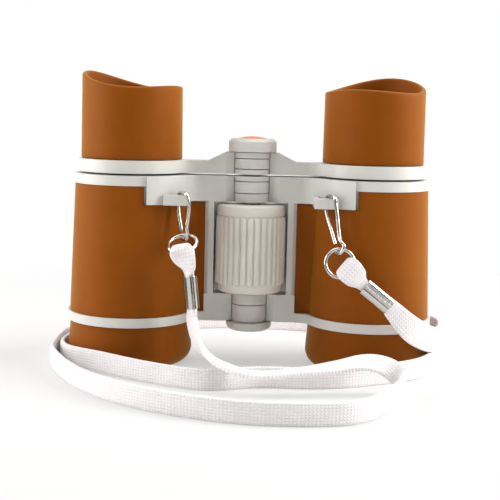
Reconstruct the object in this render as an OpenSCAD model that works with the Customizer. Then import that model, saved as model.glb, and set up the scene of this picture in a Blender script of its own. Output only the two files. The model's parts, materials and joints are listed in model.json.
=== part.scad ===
// Toy binoculars with straight-through barrels, standing on their objective ends
// inside their own lanyard. Millimetres, +Z up, the lanyard lugs face -Y.
// The two barrel axes and the hinge axis stand in the XZ plane.

/* [Layout] */
// Clear distance between the two front bands
band_gap = 31; // [31:0.5:38]
// How far the eyepieces rise over the whole turn of the focus wheel
focus_travel = 4.5; // [2:0.5:6]

/* [Barrels] */
// Radius of the front band, which the other radii of a barrel follow
band_r = 17; // [16.6:0.1:17.2]
// Height of the front band
band_h = 2.45; // [2:0.05:4]
// Length of the rubber sleeve between the two bands
sleeve_len = 34.45; // [32:0.25:40]
// How far the sleeve lies below the front band
sleeve_step = 0.6; // [0.4:0.1:0.8]
// How much smaller the radius of the sleeve is at the rear band
sleeve_taper = 1.3; // [1.1:0.1:1.5]
// Thickness of the sleeve
sleeve_wall = 1.2; // [0.9:0.1:1.4]
// Thickness of the tube under the sleeve at its rear end
tube_wall = 1.7; // [1.5:0.1:2]
// Height of the rear band
rear_band_h = 2.6; // [2:0.1:3.5]
// How far the rear band stands proud of the sleeve
rear_step = 0.2; // [0.1:0.05:0.5]

/* [Objective hoods] */
// Height of a hood from the standing face to the front band
hood_h = 11.9; // [11.5:0.1:14]
// How far the hood lies below the front band
hood_step = 0.2; // [0:0.1:0.6]
// How much smaller the radius of a hood is under the front band
hood_taper = 0.6; // [0.4:0.1:1.2]
// Rounding of the foot of a hood
hood_round = 4.4; // [3:0.2:5]
// Thickness of a hood round its opening
hood_wall = 5.8; // [5.4:0.1:6.4]
// Height of the spigot that holds a hood in its barrel
spigot_h = 2.4; // [1.5:0.1:4]

/* [Hinge frame] */
// Height of the upper arm on each barrel
arm_h = 7; // [6:0.25:9]
// Half the depth of the arms and the rails
arm_half = 3; // [2.4:0.1:3.6]
// How far the arm stands proud of the sleeve where it wraps the barrel
arm_step = 1; // [0.8:0.1:1.5]
// Hollow fillet between barrel and arm
arm_fillet = 4.5; // [3:0.5:5]
// How far short of the barrel axis the arm stops
arm_inset = 5.5; // [4:0.5:7]
// How much lower the arm hangs at the barrel than at the hinge
arm_drop = 0.4; // [0.2:0.1:1]
// Radius of the hinge knuckles
knuckle_r = 4.95; // [4.6:0.05:5.2]
// Height of the front arm
foot_arm_h = 7.5; // [6:0.25:9]
// Distance from the hinge axis to the inner face of a rail
rail_in = 9.9; // [9.9:0.1:10.4]
// Width of a rail
rail_w = 2.45; // [2:0.05:3]
// Radius of the hinge pin and of the focus spindle
pin_r = 2.4; // [1.8:0.1:2.6]

/* [Lanyard lugs] */
// Length of the bar of a lug
lug_len = 6.25; // [6.05:0.05:6.5]
// Height of the bar
lug_h = 2.7; // [2.4:0.1:2.8]
// Depth of the bar
lug_d = 2.2; // [1.8:0.1:2.2]
// Distance from the hinge axis to the inner end of a lug
lug_in = 16.5; // [16.4:0.1:16.8]
// Distance from the barrel axes forward to the face of a lug
lug_out = 14.4; // [14.2:0.1:14.6]

/* [Eyepiece bridge] */
// Gap between the barrels and the bridge at the shortest focus
bridge_gap = 0.5; // [0.4:0.1:1]
// Height of the ring round an eyepiece
bridge_h = 3.4; // [3:0.1:5]
// Further height of the bridge at the hinge
bridge_rise = 2.4; // [2:0.1:4]
// How much smaller the ring round an eyepiece is than the rear band
bridge_step = 1; // [0.6:0.1:1.2]
// Radius of the cap on the spindle
cap_r = 6.45; // [6:0.05:7]
// Height of the cap
cap_h = 3.5; // [3:0.1:5]
// Radius of the disc let into the cap
disc_r = 4; // [3:0.1:4.6]

/* [Eyecups] */
// How much smaller an eyecup is than the ring that it stands on
cup_step = 0.75; // [0.5:0.05:0.9]
// How much smaller the radius of an eyecup is at its rim
cup_taper = 0.15; // [0.1:0.05:0.6]
// Thickness of an eyecup at the bottom of its well
cup_wall = 2.55; // [2.3:0.05:2.8]
// Height of the lowest part of the rim above the bridge ring
cup_low_h = 19; // [16:0.2:22]
// Thickness of the rim
cup_lip = 1.3; // [1:0.1:1.6]
// Radius of the scoop that shapes the winged rim
scoop_r = 42; // [36:1:60]
// How far the scoop is set off towards the low side
scoop_shift = 5.8; // [4:0.2:7]
// Direction of the left wing, in degrees from +X towards +Y
left_wing_deg = 160; // [0:1:360]
// Direction of the right wing, in degrees from +X towards +Y
right_wing_deg = 64; // [0:1:360]

/* [Focus wheel] */
// Radius over the ribs
wheel_r = 9.6; // [9:0.1:9.6]
// Height of the plain flange at the eyepiece end
flange_h = 2.9; // [2:0.1:4]
// Height of the plain foot of the wheel
wheel_foot_h = 2.4; // [1.5:0.1:4]
// Number of ribs
rib_count = 32; // [24:1:36]
// Radius of a rib
rib_r = 0.75; // [0.5:0.05:0.75]

/* [Lanyard] */
// Width of the braided strap
strap_w = 5.4; // [4.6:0.1:5.6]
// Thickness of the strap
strap_t = 1.4; // [1:0.1:1.4]
// Diameter of the wire of the hooks and rings
wire_d = 1; // [0.8:0.05:1]
// Radius of a ring at the middle of its wire
ring_r = 3.7; // [3.7:0.05:3.8]
// Width of a ferrule
ferrule_w = 4.6; // [4.2:0.1:5]
// Thickness of a ferrule
ferrule_t = 3.2; // [3.2:0.1:4]

/* [Hidden] */
$fn = 96;

// Clearances and small details that several pieces share
run_fit = 0.05;
seat_fit = 0.02;
slide_fit = 0.3;
skin_fit = 0.05;
fold_gap = 0.2;
knuckle_gap = 0.2;
wheel_gap = 0.6;
cap_gap = 0.2;
cup_gap = 0.1;
over = 1;

// Heights, from the standing face up
z_hood = hood_h;
z_band = z_hood + band_h;
z_sleeve = z_band + sleeve_len;
z_body = z_sleeve + rear_band_h;
z_arm = z_body - arm_h;
z_foot_arm = z_hood + foot_arm_h;
z_bridge = z_body + bridge_gap;
z_ring = z_bridge + bridge_h;
z_bridge_top = z_ring + bridge_rise;
z_cap = z_bridge_top + cap_gap;
z_cap_top = z_cap + cap_h;
z_cup = z_ring + cup_gap;
z_low = z_ring + cup_low_h;

// Radii of the barrels, from the front band up
hood_r = band_r - hood_step;
hood_top_r = hood_r - hood_taper;
hood_bore_r = hood_r - hood_wall;
sleeve_foot_r = band_r - sleeve_step;
sleeve_top_r = sleeve_foot_r - sleeve_taper;
rear_band_r = sleeve_top_r + rear_step;
bore_r = sleeve_top_r - sleeve_wall - tube_wall;
arm_r = sleeve_top_r + arm_step;
bridge_r = rear_band_r - bridge_step;
cup_base_r = bridge_r - cup_step;
cup_rim_r = cup_base_r - cup_taper;

// Plan sizes
c = band_r + band_gap / 2;
axis_gap = 2 * c;
arm_end = knuckle_r + fold_gap;
arm_end_half = 1.2;
knuckle_neck_half = 1.4;
arm_run = 1.8;
rail_out = rail_in + rail_w;
rail_slope = 0.9;

// Wall that each half bends round behind the focus wheel, with the turn that it spans from the rail
shroud_t = 1.2;
shroud_turn = 50;
neck_half = arm_half - rail_slope;
web_half = neck_half - sleeve_wall;
tube_foot_r = sleeve_foot_r - sleeve_wall;
tube_top_r = sleeve_top_r - sleeve_wall;
arm_edge_gap = 0.8;

// Hinge knuckles: the collar first, then the two halves share what is left
collar_h = 1.3;
upper_room = arm_h - collar_h - 2 * knuckle_gap;
upper_share = 0.44;
right_upper = [z_arm, z_arm + upper_room * upper_share];
left_upper = [right_upper[1] + knuckle_gap, z_body - collar_h - knuckle_gap];
foot_room = foot_arm_h - knuckle_gap;
foot_share = 0.62;
left_foot = [z_hood, z_hood + foot_room * foot_share];
right_foot = [left_foot[1] + knuckle_gap, z_foot_arm];
bridge_room = z_bridge_top - z_bridge - collar_h - 2 * knuckle_gap;
bridge_share = 0.64;
z_bridge_knuckle = z_bridge + collar_h + knuckle_gap;
right_bridge = [z_bridge_knuckle, z_bridge_knuckle + bridge_room * bridge_share];
left_bridge = [right_bridge[1] + knuckle_gap, z_bridge_top];
ramp_out = 2.15;
ramp_len = 4.7;
ramp_end = knuckle_r + ramp_out;
ramp_start = ramp_end + ramp_len;

// Pin, spindle and caps on the hinge axis
end_cap_step = 0.2;
end_cap_r = cap_r - end_cap_step;
end_cap_h = 2.4;
end_cap_round = 1.8;
end_cap_wall = 0.8;
pin_into_wheel = 2.4;
spindle_gap = 1.6;
cap_socket = 1.4;
cap_edge = 0.8;
disc_seat = 0.7;
disc_proud = 0.6;
z_wheel = z_foot_arm + wheel_gap;
z_wheel_top = z_arm - wheel_gap;
z_pin_top = z_wheel + pin_into_wheel;
rib_h = 0.65;
flange_step = 0.35;
wheel_core_r = wheel_r - rib_h;
flange_r = wheel_r - flange_step;
flange_edge = 0.4;
wheel_foot_edge = 0.9;

// Eyepieces and lenses
eye_r = bore_r - slide_fit;
eye_wall = 1.5;
eye_hold = 12;
eye_depth = eye_hold + focus_travel;
eye_above = 8.6;
eye_rim = 1;
eye_lens_r = eye_r - eye_rim;
eye_lens_t = 2.4;
eye_lens_down = 3.6;
eye_lens_curve = 26;
retainer_w = 1.4;
retainer_h = 1.1;
cup_shelf_t = 1;
cup_shelf_w = 1.6;
cup_well_r = cup_base_r - cup_wall;
cup_shelf_r = cup_well_r - cup_shelf_w;
cup_blank = 14;
glass_lip = 0.6;
glass_r = hood_bore_r + glass_lip;
glass_t = 3;
glass_curve = 55;
glass_seat = 6.5;
function glass_sag(r) = glass_curve - sqrt(pow(glass_curve, 2) - pow(r, 2));
z_glass = glass_seat + seat_fit + glass_t / 2 - glass_sag(hood_bore_r);
z_lens_ring = z_glass + seat_fit + glass_t / 2 - glass_sag(glass_r - retainer_w);

// Lanyard lugs, with the middle of the bar as the place that the hooks hang from
lug_leg = 1.2;
z_lug = z_arm - arm_drop + lug_h / 2;
lug_mid = [lug_in + lug_len / 2, -lug_out + lug_d / 2, z_lug];
left_lug = [-lug_mid[0], lug_mid[1], lug_mid[2]];
right_lug = lug_mid;

// Wire of the two hooks, from the middle of the bar: up behind it, over it, down in front and round the ring
left_hook_route = [[1.6, 0.8, -8.2], [1.5, 0.95, -7.1], [0.95, 1.6, -4.5], [0.6, 2.2, -1.7], [0.5, 2.2, 0.2],
    [0.9, 1.85, 1.7], [1.9, 0, 1.98], [2.9, -1.85, 1.7], [3.5, -2.2, 0.3], [3.7, -2.2, -1.5],
    [3.5, -2.15, -4.5], [3.2, -2.1, -7], [3.35, -2.05, -8.6], [3.1, -1.65, -9.85], [2.4, -0.5, -10.25],
    [1.8, 0.55, -10.1], [1.65, 0.85, -9.35]];
right_hook_route = [[2.45, -2.6, -10.2], [2.05, -1.95, -9], [1.25, -0.6, -6.4], [0.55, 0.8, -4.2],
    [0, 1.95, -1.8], [-0.1, 2.2, 0.1], [0.3, 1.85, 1.7], [1.15, 0, 1.98], [1.9, -1.85, 1.7], [2.2, -2.2, 0],
    [2.7, -2.75, -3.3], [3.2, -3.6, -7.6], [3.6, -4.4, -9.1], [4.4, -5.2, -10.1], [4.2, -5.4, -11.2],
    [3.6, -4.95, -12.15], [3.15, -4.05, -12.4], [2.75, -3.15, -12.2], [2.6, -2.8, -11.4]];
wire_way = [0.3, 0.9, 0.2];

// Rings hang on the hooks: the middle of each from its lug, and the turns that face it
left_ring_from = [2.3, -3.7, -10.9];
left_ring_turn = [30, -10, 0];
right_ring_from = [3.6, -4.9, -14.8];
right_ring_turn = [76, 0, 3];

// Ferrules from their lugs: the end at the strap, the end at the ring, the middle of the fold,
// and the way that the width runs
left_low_from = [5.3, -6.6, -27.1];
left_high_from = [4.4, -6.1, -18.9];
left_fold_from = [2.45, -6.5, -12.4];
left_way = [0.4, -0.92, 0.1];
left_fold_way = [0.97, 0, 0.2];
right_low_from = [16.5, -6.3, -25.5];
right_high_from = [10, -5.9, -20.4];
right_fold_from = [5.45, -5.2, -16.3];
right_way = [0.63, 0.2, 0.75];
left_low = left_lug + left_low_from;
left_high = left_lug + left_high_from;
right_low = right_lug + right_low_from;
right_high = right_lug + right_high_from;
ferrule_wall = 0.35;
seam_w = 1.2;
seam_off = 0.75;

// Fold of the strap through a ring, with the share of the strap's width at each point of its route
loop_t = 0.9;
loop_bend = 1.45;
loop_gap = 0.1;
loop_end = 0.2;
left_loop_shares = [0.54, 0.54, 0.7, 0.76, 0.8, 1.18, 1.1, 0.54, 0.54];
right_loop_shares = [0.54, 0.54, 1, 1.1, 0.94, 1.24, 1.1, 0.54, 0.54];
strap_end_shares = [0.84, 1.1, 1.26, 1.3, 1.26, 1.2, 1.12, 1.06];

// Route of the strap on the floor and up to both ferrules, each point with the way that its width runs
on_edge = [0, 0, 1];
strap_route = [
    [[-14.2, -20.4, 14.4], [-0.4, 1, 0]], [[-11.6, -25.8, 9.6], [-0.3, 1, -0.1]],
    [[-6, -33.4, 6.8], [-0.1, 1, 0]], [[2, -36.9, 5.3], [0, 1, 0]], [[12, -36, 6], [0, 1, 0]],
    [[21.5, -34.2, 7], [0, 1, 0.25]], [[29, -32.9, 8.1], [0, 1, 0.55]], [[34.8, -31.9, 6.8], [0, 0.7, 0.9]],
    [[38.2, -34.6, 4], [0.1, 0.1, 1]], [[35.4, -43, 2.8], on_edge], [[28, -56.2, 2.8], on_edge],
    [[18, -61.4, 2.8], on_edge], [[-2, -61.2, 2.8], on_edge], [[-22, -52.6, 2.8], on_edge],
    [[-37, -39.7, 2.8], on_edge], [[-47.5, -22.4, 2.8], on_edge], [[-52.8, -3, 2.8], on_edge],
    [[-48, 26, 2.8], on_edge], [[-17, 46.8, 2.8], on_edge], [[17, 46.8, 2.8], on_edge],
    [[48, 26, 2.8], on_edge], [[51.8, 3, 2.8], on_edge], [[45.4, -13.8, 2.8], on_edge],
    [[33, -22.9, 2.8], on_edge], [[19, -28.2, 2.8], on_edge], [[3, -28.8, 2.8], on_edge],
    [[-10, -32.8, 2.8], on_edge], [[-24, -26.8, 2.8], on_edge], [[-38, -18.4, 3.3], on_edge],
    [[-48.5, -9.8, 3.3], on_edge], [[-50.5, 5.5, 2.8], on_edge], [[-43.5, 25.6, 2.8], on_edge],
    [[-16, 44.7, 2.8], on_edge], [[16, 44.7, 2.8], on_edge], [[40.5, 31, 4], on_edge],
    [[50, 16, 8.8], on_edge], [[53, 5, 9.2], on_edge], [[49.8, -6.8, 8.9], [0.1, 0, 1]],
    [[42.6, -17.4, 13.5], [0.5, 0.1, 0.95]]];

// Swept wires and straps
function unit(v) = v / norm(v);
function spline(p, steps) = [
    for (i = [0 : len(p) - 2]) for (j = [0 : steps - 1])
        let (a = p[max(i - 1, 0)], b = p[i], d = p[i + 1], e = p[min(i + 2, len(p) - 1)], t = j / steps)
        (2 * b + (d - a) * t + (2 * a - 5 * b + 4 * d - e) * t * t + (3 * b - a - 3 * d + e) * t * t * t) / 2,
    p[len(p) - 1]];
function heading(p, i) = unit(p[min(i + 1, len(p) - 1)] - p[max(i - 1, 0)]);
function across(w, t) = unit(w - (w * t) * t);
function flat_section(w, t) = let (edge_share = 0.4, side_share = 0.84)
    [for (s = [[1, -edge_share], [1, edge_share], [side_share, 1], [-side_share, 1],
        [-1, edge_share], [-1, -edge_share], [-side_share, -1], [side_share, -1]])
        [s[0] * w / 2, s[1] * t / 2]];
function round_section(d, sides) = [for (k = [0 : sides - 1])
    d / 2 * [cos(360 * k / sides), sin(360 * k / sides)]];

// A section swept along points, with the way that its width runs and the share of its width at each;
// start and finish face the end rings
module sweep(points, widths, shares, section, start, finish) {
    n = len(section);
    last = len(points) - 1;
    facing = [for (i = [0 : last]) i == 0 ? unit(start) : i == last ? unit(finish) : heading(points, i)];
    wide = [for (i = [0 : last]) across(widths[i], facing[i])];
    rings = [for (i = [0 : last]) for (s = section)
        points[i] + s[0] * shares[i] * wide[i] + s[1] * cross(facing[i], wide[i])];
    sides = [for (i = [0 : last - 1]) for (k = [0 : n - 1])
        let (a = i * n + k, b = i * n + (k + 1) % n)
        each [[a, a + n, b + n], [a, b + n, b]]];
    ends = [[for (k = [0 : n - 1]) k], [for (k = [n - 1 : -1 : 0]) last * n + k]];
    polyhedron(rings, concat(sides, ends));
}

// A bent wire through hand-chosen points, measured from a lug
module bent_wire(route, from) {
    points = [for (p = spline(route, 2)) from + p];
    last = len(points) - 1;
    sweep(points, [for (p = points) wire_way], [for (p = points) 1], round_section(wire_d, 8),
        points[1] - points[0], points[last] - points[last - 1]);
}

// Plan of a ring round the barrel axis that runs out into an arm with hollow fillets
module yoke(r, half, fillet) {
    reach = sqrt(pow(r + fillet, 2) - pow(half + fillet, 2));
    translate([c, 0])
        circle(r);
    difference() {
        polygon([[c, 0], [c - reach, -half - fillet], [c - reach, half + fillet]]);
        for (s = [-1, 1])
            translate([c - reach, s * (half + fillet)])
                circle(fillet);
    }
}

// Plan of the straight part of an arm, chamfered towards the hinge and hollowed round the knuckles
module arm_strip(far) {
    near = arm_end + arm_run;
    tip = arm_end - arm_run;
    difference() {
        polygon([[tip, -arm_end_half], [near, -arm_half], [far, -arm_half],
            [far, arm_half], [near, arm_half], [tip, arm_end_half]]);
        circle(arm_end);
    }
}

module knuckle(level) {
    translate([0, 0, level[0]])
        cylinder(h = level[1] - level[0], r = knuckle_r);
    translate([0, -knuckle_neck_half, level[0]])
        cube([arm_end + arm_run, 2 * knuckle_neck_half, level[1] - level[0]]);
}

module hinge_bore(fit) {
    translate([0, 0, -over])
        cylinder(h = z_cap_top + 2 * over, r = pin_r + fit);
}

// The moulded half of the frame: tube, bands, arms, rail, knuckles and lanyard lug, for the right-hand side
module body_form(upper_level, foot_level) {
    difference() {
        union() {
            translate([c, 0, z_band - over])
                cylinder(h = sleeve_len + 2 * over, r1 = tube_foot_r, r2 = tube_top_r);
            translate([0, 0, z_hood])
                linear_extrude(band_h) {
                    yoke(band_r, arm_half, arm_fillet);
                    arm_strip(c);
                }
            translate([0, 0, z_hood])
                linear_extrude(foot_arm_h)
                    arm_strip(rail_out);
            translate([c, 0, z_sleeve])
                cylinder(h = rear_band_h, r = rear_band_r);
            upper_arm();
            rail();
            knuckle(upper_level);
            knuckle(foot_level);
            lug();
        }
        translate([c, 0, z_hood - over])
            cylinder(h = z_body - z_hood + 2 * over, r = bore_r);
        hinge_bore(run_fit);
    }
}

module upper_arm() {
    for (part = [[0, lug_in, z_arm], [lug_in, c - arm_inset, z_arm - arm_drop]])
        intersection() {
            translate([0, 0, part[2]])
                linear_extrude(z_body - part[2]) {
                    yoke(arm_r, arm_half, arm_fillet);
                    arm_strip(c);
                }
            translate([part[0], -c, 0])
                cube([part[1] - part[0], axis_gap, z_body]);
        }
}

// Rail beside the focus wheel, and the web from it to the tube
module rail() {
    translate([0, 0, z_hood])
        linear_extrude(z_arm - z_hood + over)
            polygon([[rail_in, -arm_half], [rail_out - rail_slope, -arm_half], [rail_out, -neck_half],
                [rail_out, neck_half], [rail_out - rail_slope, arm_half], [rail_in, arm_half]]);
    translate([rail_in, -web_half, z_hood])
        cube([c - bore_r - rail_in - over, 2 * web_half, z_arm - z_hood + over]);
    translate([0, 0, z_hood])
        linear_extrude(z_arm - z_hood + over)
            shroud_plan();
}

// Plan of the wall behind the focus wheel, which turns round the hinge with its half
module shroud_plan() {
    inner_r = wheel_r + wheel_gap;
    intersection() {
        difference() {
            circle(inner_r + shroud_t);
            circle(inner_r);
        }
        polygon([[0, 0], [c, 0], [c, c], c * [cos(shroud_turn), sin(shroud_turn)] * sqrt(2)]);
    }
}

// Bar that stands off the hollow of the arm, with a leg at its inner end
module lug() {
    translate([lug_in, -lug_out, z_lug - lug_h / 2]) {
        cube([lug_len, lug_d, lug_h]);
        cube([lug_leg, lug_out - arm_half + over, lug_h]);
    }
}

// Rubber sleeve between the bands, with a neck that reaches the rail and a notch round the arm
module sleeve_form() {
    difference() {
        union() {
            translate([c, 0, z_band])
                cylinder(h = sleeve_len, r1 = sleeve_foot_r, r2 = sleeve_top_r);
            translate([0, 0, z_band])
                linear_extrude(z_arm - z_band) {
                    yoke(sleeve_top_r - skin_fit, neck_half, arm_fillet);
                    translate([rail_out + skin_fit, -neck_half])
                        square([c - rail_out, 2 * neck_half]);
                }
        }
        translate([c, 0, z_band])
            cylinder(h = sleeve_len, r1 = tube_foot_r + skin_fit, r2 = tube_top_r + skin_fit);
        translate([c, 0, z_sleeve - over])
            cylinder(h = 2 * over, r = tube_top_r + skin_fit);
        translate([c, 0, z_band - over])
            cylinder(h = 2 * over, r = tube_foot_r + skin_fit);
        translate([rail_in, -web_half - skin_fit, z_band - over])
            cube([c - rail_in, 2 * (web_half + skin_fit), sleeve_len]);
        translate([0, -c, z_arm - arm_drop - skin_fit])
            cube([c - arm_inset + arm_edge_gap, axis_gap, z_sleeve]);
    }
}

module hood_form() {
    translate([c, 0, 0])
        difference() {
            rotate_extrude() {
                intersection() {
                    translate([hood_r - hood_round, hood_round])
                        circle(hood_round);
                    translate([hood_bore_r, 0])
                        square([hood_r, hood_round]);
                }
                translate([hood_bore_r, 0])
                    square([hood_r - hood_round - hood_bore_r, hood_h]);
                polygon([[hood_bore_r, hood_round], [hood_r, hood_round], [hood_top_r, hood_h],
                    [bore_r - seat_fit, hood_h], [bore_r - seat_fit, hood_h + spigot_h],
                    [hood_bore_r, hood_h + spigot_h]]);
            }
            translate([0, 0, glass_seat])
                cylinder(h = hood_h + spigot_h, r = glass_r + seat_fit);
        }
}

module objective_form() {
    translate([c, 0, z_glass])
        intersection() {
            cylinder(h = glass_t, r = glass_r, center = true);
            translate([0, 0, glass_t / 2 - glass_curve])
                sphere(glass_curve, $fn = 200);
            translate([0, 0, glass_curve - glass_t / 2])
                sphere(glass_curve, $fn = 200);
        }
}

module lens_ring_form() {
    translate([c, 0, z_lens_ring])
        difference() {
            cylinder(h = retainer_h + retainer_w, r = glass_r);
            translate([0, 0, -over])
                cylinder(h = retainer_h + retainer_w + 2 * over, r = glass_r - retainer_w);
        }
}

// Arm of the eyepiece bridge: ring, arm that rises towards the hinge, and knuckle
module bridge_form(level) {
    difference() {
        union() {
            intersection() {
                translate([0, 0, z_bridge])
                    linear_extrude(z_bridge_top - z_bridge) {
                        yoke(bridge_r, arm_half, arm_fillet);
                        arm_strip(c);
                    }
                rotate([90, 0, 0])
                    linear_extrude(axis_gap, center = true)
                        polygon([[0, z_bridge], [axis_gap, z_bridge], [axis_gap, z_ring],
                            [ramp_start, z_ring], [ramp_end, z_bridge_top], [0, z_bridge_top]]);
            }
            knuckle(level);
        }
        translate([c, 0, z_bridge - over])
            cylinder(h = bridge_h + bridge_rise + 2 * over, r = eye_r + seat_fit);
        hinge_bore(run_fit);
    }
}

module eyepiece_tube_form() {
    z_top = z_ring + eye_above;
    translate([c, 0, 0])
        difference() {
            translate([0, 0, z_bridge - eye_depth])
                cylinder(h = z_top - z_bridge + eye_depth, r = eye_r);
            translate([0, 0, z_bridge - eye_depth - over])
                cylinder(h = axis_gap, r = eye_r - eye_wall);
            translate([0, 0, z_top - eye_lens_down])
                cylinder(h = eye_lens_down + over, r = eye_lens_r + seat_fit);
        }
}

module eyepiece_lens_form() {
    translate([c, 0, z_ring + eye_above - eye_lens_down])
        difference() {
            cylinder(h = eye_lens_t, r = eye_lens_r);
            translate([0, 0, eye_lens_t / 2 + eye_lens_curve])
                sphere(eye_lens_curve, $fn = 200);
        }
}

module eyepiece_ring_form() {
    translate([c, 0, z_ring + eye_above - eye_lens_down + eye_lens_t])
        difference() {
            cylinder(h = retainer_h, r = eye_lens_r);
            translate([0, 0, -over])
                cylinder(h = retainer_h + 2 * over, r = eye_lens_r - retainer_w);
        }
}

// Rubber eyecup about its own axis, with its wing towards +X
module eyecup_form() {
    shelf = z_ring + eye_above + cup_gap;
    blank = z_low + cup_blank;
    difference() {
        rotate_extrude()
            polygon([[eye_r + run_fit, z_cup], [cup_base_r, z_cup], [cup_rim_r, z_low], [cup_rim_r, blank],
                [cup_rim_r - cup_lip, blank], [cup_rim_r - cup_lip, z_low], [cup_well_r, shelf + cup_shelf_t],
                [cup_shelf_r, shelf + cup_shelf_t], [cup_shelf_r, shelf], [eye_r + run_fit, shelf]]);
        translate([-scoop_shift, 0, z_low + scoop_r])
            rotate([90, 0, 0])
                cylinder(h = axis_gap, r = scoop_r, center = true, $fn = 200);
    }
}

// Ferrule rolled from sheet, with an open seam on the side that faces forward
module ferrule_form(low, high, way) {
    axis = unit(high - low);
    w = across(way, axis);
    u = cross(axis, w);
    span = norm(high - low);
    multmatrix([[w[0], u[0], axis[0], low[0]], [w[1], u[1], axis[1], low[1]],
        [w[2], u[2], axis[2], low[2]], [0, 0, 0, 1]])
        difference() {
            linear_extrude(span)
                flat_tube(ferrule_w, ferrule_t);
            translate([0, 0, -over])
                linear_extrude(span + 2 * over)
                    flat_tube(ferrule_w - 2 * ferrule_wall, ferrule_t - 2 * ferrule_wall);
            translate([seam_off - seam_w / 2, -ferrule_t, -over])
                cube([seam_w, ferrule_t, span + 2 * over]);
        }
}

module flat_tube(w, t) {
    square([w - t, t], center = true);
    for (s = [-1, 1])
        translate([s * (w - t) / 2, 0])
            circle(d = t, $fn = 32);
}

// End of the strap, from the foot of the ferrule through the ring and back
module strap_loop_form(low, high, fold, way, fold_way, shares) {
    axis = unit(high - low);
    lead = unit(fold - high);
    out = (loop_t + loop_gap) / 2 * cross(axis, across(way, axis));
    turn = loop_bend * cross(lead, across(fold_way, lead));
    foot = low + loop_end * axis;
    middle = (high + fold) / 2;
    half_way = unit(way) + unit(fold_way);
    route = [foot + out, high + out, middle + turn, fold + turn, fold + loop_bend * lead,
        fold - turn, middle - turn, high - out, foot - out];
    ways = [way, way, half_way, fold_way, fold_way, fold_way, half_way, way, way];
    sweep(spline(route, 3), spline(ways, 3), spline(shares, 3), flat_section(strap_w, loop_t), axis, -axis);
}

module hook_ring(place, turn) {
    translate(place)
        rotate(turn)
            rotate_extrude()
                translate([ring_r, 0])
                    circle(d = wire_d, $fn = 32);
}

plastic = "#d6d3ca";
rubber = "#a05f20";
dark = "#26272a";
clear = "#c9d6dc";
nickel = "#c4c4c2";
braid = "#f1eef0";

module left_body() { color(plastic) mirror([1, 0, 0]) body_form(left_upper, left_foot); }
module right_body() { color(plastic) body_form(right_upper, right_foot); }
module left_sleeve() { color(rubber) mirror([1, 0, 0]) sleeve_form(); }
module right_sleeve() { color(rubber) sleeve_form(); }
module left_hood() { color(rubber) mirror([1, 0, 0]) hood_form(); }
module right_hood() { color(rubber) hood_form(); }
module left_objective() { color(clear) mirror([1, 0, 0]) objective_form(); }
module right_objective() { color(clear) objective_form(); }
module left_lens_ring() { color(dark) mirror([1, 0, 0]) lens_ring_form(); }
module right_lens_ring() { color(dark) lens_ring_form(); }
module left_bridge_arm() { color(plastic) mirror([1, 0, 0]) bridge_form(left_bridge); }
module right_bridge_arm() { color(plastic) bridge_form(right_bridge); }
module left_eyepiece_tube() { color(dark) mirror([1, 0, 0]) eyepiece_tube_form(); }
module right_eyepiece_tube() { color(dark) eyepiece_tube_form(); }
module left_eyepiece_lens() { color(clear) mirror([1, 0, 0]) eyepiece_lens_form(); }
module right_eyepiece_lens() { color(clear) eyepiece_lens_form(); }
module left_eyepiece_ring() { color(dark) mirror([1, 0, 0]) eyepiece_ring_form(); }
module right_eyepiece_ring() { color(dark) eyepiece_ring_form(); }
module left_eyecup() { color(rubber) translate([-c, 0, 0]) rotate([0, 0, left_wing_deg]) eyecup_form(); }
module right_eyecup() { color(rubber) translate([c, 0, 0]) rotate([0, 0, right_wing_deg]) eyecup_form(); }

// Pin through the front knuckles and into the foot of the wheel
module hinge_pin() {
    z_low_end = z_hood - end_cap_h + end_cap_wall;
    color(nickel)
        translate([0, 0, z_low_end])
            cylinder(h = z_pin_top - z_low_end, r = pin_r);
}

// Domed cap under the front knuckles
module hinge_end_cap() {
    color(plastic)
        translate([0, 0, z_hood - knuckle_gap - end_cap_h])
            difference() {
                rotate_extrude() {
                    square([end_cap_r - end_cap_round, end_cap_h]);
                    translate([0, end_cap_round])
                        square([end_cap_r, end_cap_h - end_cap_round]);
                    intersection() {
                        translate([end_cap_r - end_cap_round, end_cap_round])
                            circle(end_cap_round);
                        square([end_cap_r, end_cap_h]);
                    }
                }
                translate([0, 0, end_cap_wall + knuckle_gap])
                    cylinder(h = end_cap_h, r = pin_r + seat_fit);
            }
}

module collar(z) {
    translate([0, 0, z])
        difference() {
            cylinder(h = collar_h, r = knuckle_r);
            translate([0, 0, -over])
                cylinder(h = collar_h + 2 * over, r = pin_r + run_fit);
        }
}

module hinge_collar() { color(plastic) collar(z_body - collar_h); }
module bridge_collar() { color(plastic) collar(z_bridge); }

module focus_wheel() {
    ribs_from = z_wheel + wheel_foot_h;
    ribs_to = z_wheel_top - flange_h;
    color(plastic)
        difference() {
            union() {
                translate([0, 0, z_wheel])
                    cylinder(h = wheel_foot_edge, r1 = wheel_core_r - wheel_foot_edge, r2 = wheel_core_r);
                translate([0, 0, z_wheel + wheel_foot_edge])
                    cylinder(h = ribs_to - z_wheel - wheel_foot_edge, r = wheel_core_r);
                translate([0, 0, ribs_to])
                    cylinder(h = flange_h - flange_edge, r = flange_r);
                translate([0, 0, z_wheel_top - flange_edge])
                    cylinder(h = flange_edge, r1 = flange_r, r2 = flange_r - flange_edge);
                translate([0, 0, ribs_from])
                    linear_extrude(ribs_to - ribs_from)
                        for (i = [0 : rib_count - 1])
                            rotate(360 * i / rib_count)
                                translate([wheel_r - rib_r, 0])
                                    circle(rib_r, $fn = 24);
            }
            hinge_bore(run_fit);
        }
}

// Spindle that the wheel drives up and down, and that carries the bridge
module focus_spindle() {
    z_start = z_pin_top + spindle_gap;
    color(nickel)
        translate([0, 0, z_start])
            cylinder(h = z_cap + cap_socket - z_start, r = pin_r);
}

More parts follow.
